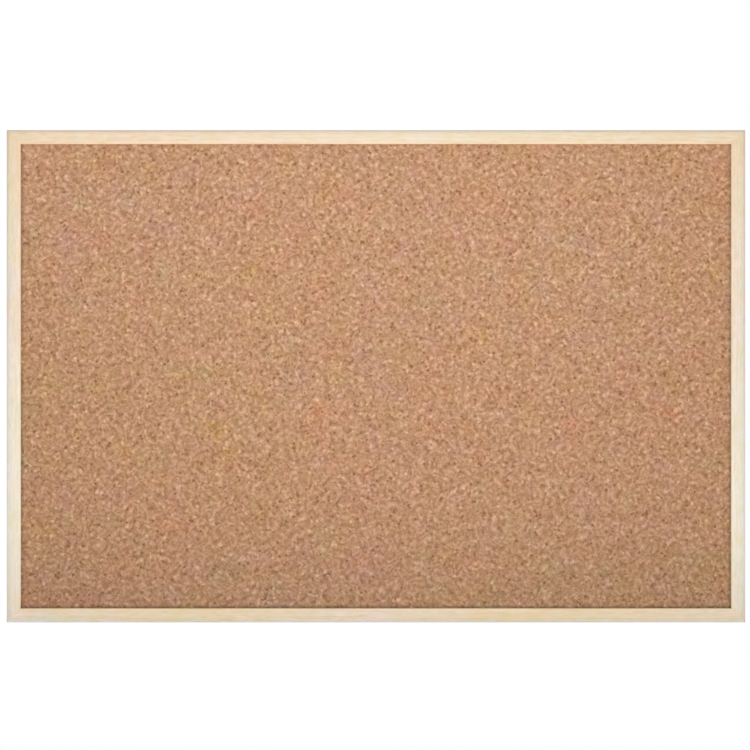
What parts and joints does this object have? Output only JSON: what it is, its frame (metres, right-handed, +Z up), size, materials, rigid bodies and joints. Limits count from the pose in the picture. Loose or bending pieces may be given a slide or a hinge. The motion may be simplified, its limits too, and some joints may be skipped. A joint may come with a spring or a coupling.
{
  "type": "cork board",
  "caption": "Wall-hung pin board: a cork face on fibreboard in a grooved, mitred pine frame, with swinging D ring hangers and rubber bumpers behind.",
  "frame": {"origin": "middle of the frame's lower edge, half way through its depth", "axes": "+X to the right along the width as the cork is looked at, +Y towards the wall behind the board, +Z up"},
  "size_m": [0.6, 0.0191, 0.4],
  "materials": {
    "pine": "sanded pale pine, clear matt lacquer",
    "cork": "agglomerated cork granules, sanded and left bare",
    "softboard": "soft fibreboard, raw",
    "hardboard": "thin hardboard, smooth side out",
    "zinc_plated_steel": "bright zinc plate",
    "staple_wire": "galvanised wire",
    "bumper_rubber": "matt dark grey rubber"
  },
  "bodies": {
    "board": {"top_rail": "pine", "bottom_rail": "pine", "left_rail": "pine", "right_rail": "pine", "cork_sheet": "cork", "softboard_core": "softboard", "backing_sheet": "hardboard", "corner_staple_top_left_outer": "staple_wire", "corner_staple_top_left_inner": "staple_wire", "corner_staple_top_right_outer": "staple_wire", "corner_staple_top_right_inner": "staple_wire", "corner_staple_bottom_left_outer": "staple_wire", "corner_staple_bottom_left_inner": "staple_wire", "corner_staple_bottom_right_outer": "staple_wire", "corner_staple_bottom_right_inner": "staple_wire", "left_hanger_strap": "zinc_plated_steel", "left_hanger_screw": "zinc_plated_steel", "right_hanger_strap": "zinc_plated_steel", "right_hanger_screw": "zinc_plated_steel", "left_bumper": "bumper_rubber", "right_bumper": "bumper_rubber"},
    "left_ring": {"left_hanger_ring": "zinc_plated_steel"},
    "right_ring": {"right_hanger_ring": "zinc_plated_steel"}
  },
  "joints": [
    {"name": "left_ring_swing", "type": "hinge", "parent": "board", "child": "left_ring", "pos_m": [-0.29425, 0.0096, 0.34], "axis": [1, 0, 0], "range_deg": [0, 180]},
    {"name": "right_ring_swing", "type": "hinge", "parent": "board", "child": "right_ring", "pos_m": [0.29425, 0.0096, 0.34], "axis": [1, 0, 0], "range_deg": [0, 180]}
  ]
}
